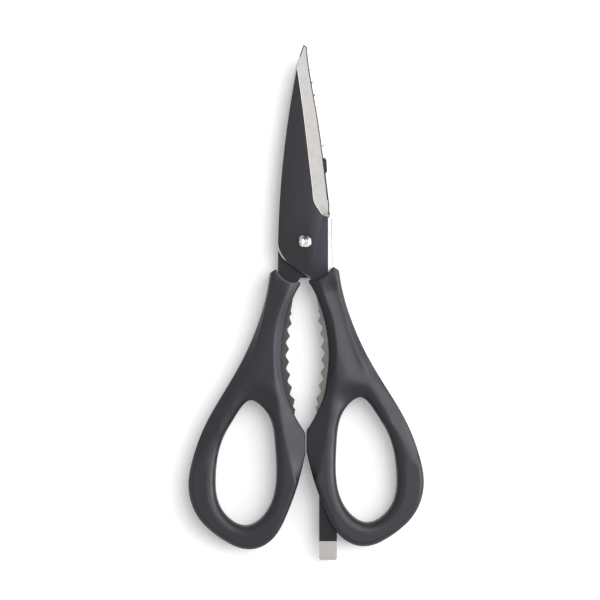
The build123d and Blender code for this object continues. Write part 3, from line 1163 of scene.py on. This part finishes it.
@dataclass
class Studio:
    """Pale floor, soft light from the right, and the camera above.

    Attributes:
        centre: Where the camera looks, seen from above.
        width: How wide the picture is at the shears.
        distance: How far the camera is from the middle of their thickness.
        middle: The height of that middle.
        sensor: The width of the camera's sensor, in its own millimetres.
        clip: The nearest and farthest distance that the camera sees.
        floor_size: The side of the floor.
        floor_drop: How far the floor lies below the shears.
        floor_glow: The floor's own light, seen by the camera and in mirrors.
        floor_shade: The floor's grey, where 1 is white.
        floor_grain: Cells of the floor's grain in a metre.
        grain_share: The darker grey of that grain, as a share of the floor's.
        world_level: How much light the surround gives.
        lamps: The lamps.
    """

    centre: tuple[float, float] = (-2.57 * MM, 0.94 * MM)
    width: float = 250.73 * MM
    distance: float = 0.9
    middle: float = 6.0 * MM
    sensor: float = 36.0
    clip: tuple[float, float] = (0.01, 10.0)
    floor_size: float = 3.0
    floor_drop: float = 0.05 * MM
    floor_glow: float = 0.22
    floor_shade: float = 0.95
    floor_grain: float = 300.0
    grain_share: float = 0.985
    world_level: float = 0.45
    lamps: tuple[Lamp, ...] = (
        Lamp("key", (0.70, 0.45, 1.20), 1.50, 18.0),
        Lamp("side", (1.20, -0.10, 0.50), 0.80, 10.0, (0.94, 0.97, 1.0)),
    )

    def build(self) -> None:
        """Makes the camera, floor, lamps and world."""
        self.add_camera()
        self.add_floor()
        for lamp in self.lamps:
            lamp.build()
        self.add_world()

    def add_camera(self) -> None:
        """A long lens straight above, framing the photograph's square."""
        data = bpy.data.cameras.new("camera")
        data.sensor_width = self.sensor
        data.lens = self.sensor * self.distance / self.width
        data.clip_start, data.clip_end = self.clip
        camera = bpy.data.objects.new("camera", data)
        camera.location = (*self.centre, self.distance + self.middle)
        bpy.context.scene.collection.objects.link(camera)
        bpy.context.scene.camera = camera

    def add_floor(self) -> None:
        """A pale floor that shows white away from the shears' shadow."""
        Bench.clear()
        bpy.ops.mesh.primitive_plane_add(size=self.floor_size, location=(0.0, 0.0, -self.floor_drop))
        floor = bpy.context.object
        floor.name = "floor"
        nodes = Nodes("floor")
        diffuse = nodes.add("ShaderNodeBsdfDiffuse")
        grain = nodes.noise(nodes.mapped(EVEN), self.floor_grain)
        low, high = self.floor_shade * self.grain_share, self.floor_shade
        nodes.join(nodes.tint(grain, (low, low, low), (high, high, high)), diffuse, "Color")
        glow = nodes.add("ShaderNodeEmission")
        glow.inputs["Color"].default_value = (1.0, 1.0, 1.0, 1.0)
        nodes.join(nodes.spread(self.seen_ray(nodes), 0.0, 1.0, 0.0, self.floor_glow), glow, "Strength")
        total = nodes.add("ShaderNodeAddShader")
        nodes.join(diffuse.outputs[0], total, 0)
        nodes.join(glow.outputs[0], total, 1)
        out = nodes.add("ShaderNodeOutputMaterial")
        nodes.join(total.outputs[0], out, "Surface")
        floor.data.materials.append(nodes.material)

    @staticmethod
    def seen_ray(nodes: Nodes) -> bpy.types.NodeSocket:
        """1 for rays from the camera, a mirror or through glass, and 0 for the rest.

        Args:
            nodes: The material that asks.

        Returns:
            The 1 or 0.
        """
        path = nodes.add("ShaderNodeLightPath")
        first = nodes.add("ShaderNodeMath", operation="MAXIMUM")
        nodes.join(path.outputs["Is Camera Ray"], first, 0)
        nodes.join(path.outputs["Is Glossy Ray"], first, 1)
        both = nodes.add("ShaderNodeMath", operation="MAXIMUM")
        nodes.join(first.outputs[0], both, 0)
        nodes.join(path.outputs["Is Transmission Ray"], both, 1)
        return both.outputs[0]

    def add_world(self) -> None:
        """An even pale surround, white where it is seen."""
        world = bpy.data.worlds.new("surround")
        world.use_nodes = True
        bpy.context.scene.world = world
        tree = world.node_tree
        back = next(node for node in tree.nodes if node.type == "BACKGROUND")
        back.inputs["Color"].default_value = (1.0, 1.0, 1.0, 1.0)
        path = tree.nodes.new("ShaderNodeLightPath")
        seen = tree.nodes.new("ShaderNodeMath")
        seen.operation = "MAXIMUM"
        level = tree.nodes.new("ShaderNodeMapRange")
        level.inputs["To Min"].default_value = self.world_level
        level.inputs["To Max"].default_value = 1.0
        tree.links.new(path.outputs["Is Camera Ray"], seen.inputs[0])
        tree.links.new(path.outputs["Is Glossy Ray"], seen.inputs[1])
        tree.links.new(seen.outputs[0], level.inputs["Value"])
        tree.links.new(level.outputs[0], back.inputs["Strength"])


def main() -> None:
    """Builds every sub-assembly in order and reports each piece."""
    logging.basicConfig(level=logging.INFO, format="%(name)s: %(message)s")
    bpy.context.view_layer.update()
    bpy.context.scene.view_settings.view_transform = "Standard"
    steels = [
        CoatedSteel().build(),
        BareSteel("bevel_steel", (0.165, 0.159, 0.154), (0.250, 0.242, 0.235), (0.40, 0.52),
                  grain=(0.09, 1.0, 1.0), turn=-12.0, fineness=2400.0).build(),
        BareSteel("ground_steel", (0.36, 0.347, 0.336), (0.48, 0.464, 0.450), (0.30, 0.42)).build(),
        BareSteel("mill_steel", (0.090, 0.088, 0.086), (0.145, 0.142, 0.138), (0.36, 0.50)).build(),
        BareSteel("polished_steel", (0.80, 0.795, 0.79), (0.94, 0.935, 0.93), (0.14, 0.22)).build(),
        # Near-black steel, painted where the cutting edge, the teeth's steps and the bevel's heel fall in
        # shade.
        BareSteel("painted_shade_steel", (0.018, 0.0175, 0.017), (0.032, 0.0315, 0.031), (0.34, 0.44)).build(),
    ]
    # The back blade's jaw takes a darker copy of the mill steel: painted shade, as that jaw lies lower,
    # under the handle.
    back_steels = list(steels)
    back_steels[Finish.MILL] = BareSteel("mill_steel_painted_shade", (0.050, 0.048, 0.047), (0.085, 0.082, 0.080),
                                         (0.36, 0.50)).build()
    plastic = MattePlastic().build()
    bright = BrightSteel().build()
    made = [
        Blade("front_blade", Body.FRONT).build(steels),
        Blade("back_blade", Body.BACK, scaler_foot=(5.5 * MM, 59.9 * MM),
              scaler_head=(-1.5 * MM, 106.0 * MM), strip=(11.5 * MM, 35.7 * MM)).build(back_steels),
        Handle("right_handle", Body.FRONT, (21.0 * MM, -42.0 * MM), (41.6 * MM, -59.0 * MM),
               ((14.1 * MM, 4.3 * MM), (25.0 * MM, -29.1 * MM)), ridge_drop=1.2 * MM).build(plastic),
        Handle("left_handle", Body.BACK, (-23.0 * MM, -43.5 * MM), (-43.2 * MM, -59.9 * MM),
               ((-16.5 * MM, 4.3 * MM), (-29.0 * MM, -29.1 * MM))).build(plastic),
        Rivet().build(bright),
        Washer().build(bright),
    ]
    for piece in made:
        log.info("%s: %d faces", piece.name, len(piece.data.polygons))
    Studio().build()


if __name__ == "__main__":
    main()
